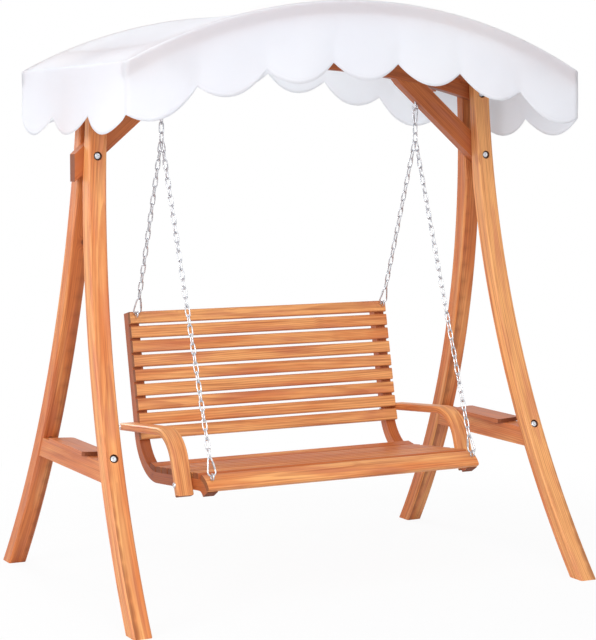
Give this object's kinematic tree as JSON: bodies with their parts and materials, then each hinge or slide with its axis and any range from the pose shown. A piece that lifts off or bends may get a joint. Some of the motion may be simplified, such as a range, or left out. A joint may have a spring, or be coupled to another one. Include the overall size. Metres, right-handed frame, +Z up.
{
  "type": "canopy garden swing",
  "caption": "Garden swing: a slatted timber bench hung by chains from a bowed timber frame, under an arched cloth canopy with a scalloped hem.",
  "frame": {"origin": "on the ground, midway between the four feet", "axes": "+Z up, the bench faces -Y, +X runs along the bench towards the right of someone who looks at its front"},
  "size_m": [1.764, 1.274, 2.003],
  "materials": {
    "timber": "stained laminated larch, satin",
    "zinc": "bright zinc plating",
    "cloth": "woven white polyester"
  },
  "bodies": {
    "frame": {"front_left_leg": "timber", "rear_left_leg": "timber", "left_crossbar": "timber", "left_tray": "timber", "front_right_leg": "timber", "rear_right_leg": "timber", "right_crossbar": "timber", "right_tray": "timber", "top_beam": "timber", "left_brace": "timber", "right_brace": "timber", "front_roof_rail": "timber", "front_valance": "cloth", "rear_roof_rail": "timber", "rear_valance": "cloth", "left_roof_arm": "timber", "left_valance": "cloth", "right_roof_arm": "timber", "right_valance": "cloth", "roof_cover": "cloth", "frame_bolts": "zinc", "hanger_eyes": "zinc"},
    "swing": {"left_side_frame": "timber", "left_arm": "timber", "right_side_frame": "timber", "right_arm": "timber", "back_slat_1": "timber", "back_slat_2": "timber", "back_slat_3": "timber", "back_slat_4": "timber", "back_slat_5": "timber", "back_slat_6": "timber", "back_slat_7": "timber", "back_slat_8": "timber", "back_slat_9": "timber", "seat_slat_1": "timber", "seat_slat_2": "timber", "seat_slat_3": "timber", "seat_slat_4": "timber", "seat_slat_5": "timber", "seat_slat_6": "timber", "seat_slat_7": "timber", "seat_slat_8": "timber", "front_board": "timber", "arm_bolts": "zinc", "bench_eyes": "zinc", "snap_hooks": "zinc", "upper_links": "zinc", "left_front_chain": "zinc", "left_rear_chain": "zinc", "right_front_chain": "zinc", "right_rear_chain": "zinc"},
    "left_top_gate": {"left_top_gate": "zinc"},
    "left_front_gate": {"left_front_gate": "zinc"},
    "left_rear_gate": {"left_rear_gate": "zinc"},
    "right_top_gate": {"right_top_gate": "zinc"},
    "right_front_gate": {"right_front_gate": "zinc"},
    "right_rear_gate": {"right_rear_gate": "zinc"}
  },
  "joints": [
    {"name": "bench_swing", "type": "hinge", "parent": "frame", "child": "swing", "pos_m": [0, 0, 1.65694], "axis": [1, 0, 0], "range_deg": [-25, 25]},
    {"name": "left_top_gate_hinge", "type": "hinge", "parent": "swing", "child": "left_top_gate", "pos_m": [-0.505, 0.00843, 1.61681], "axis": [1, 0, 0], "range_deg": [0, 25], "stiffness_Nm_per_rad": 0.05, "springref_deg": -11.46},
    {"name": "left_front_gate_hinge", "type": "hinge", "parent": "swing", "child": "left_front_gate", "pos_m": [-0.49657, -0.3862, 0.49228], "axis": [0, 0.9396, -0.3423], "range_deg": [0, 25], "stiffness_Nm_per_rad": 0.05, "springref_deg": -11.46},
    {"name": "left_rear_gate_hinge", "type": "hinge", "parent": "swing", "child": "left_rear_gate", "pos_m": [-0.49657, 0.21537, 0.97688], "axis": [0, 0.9365, 0.3507], "range_deg": [0, 25], "stiffness_Nm_per_rad": 0.05, "springref_deg": -11.46},
    {"name": "right_top_gate_hinge", "type": "hinge", "parent": "swing", "child": "right_top_gate", "pos_m": [0.505, 0.00843, 1.61681], "axis": [1, 0, 0], "range_deg": [0, 25], "stiffness_Nm_per_rad": 0.05, "springref_deg": -11.46},
    {"name": "right_front_gate_hinge", "type": "hinge", "parent": "swing", "child": "right_front_gate", "pos_m": [0.49657, -0.3862, 0.49228], "axis": [0, -0.9396, 0.3423], "range_deg": [0, 25], "stiffness_Nm_per_rad": 0.05, "springref_deg": -11.46},
    {"name": "right_rear_gate_hinge", "type": "hinge", "parent": "swing", "child": "right_rear_gate", "pos_m": [0.49657, 0.21537, 0.97688], "axis": [0, -0.9365, -0.3507], "range_deg": [0, 25], "stiffness_Nm_per_rad": 0.05, "springref_deg": -11.46}
  ]
}
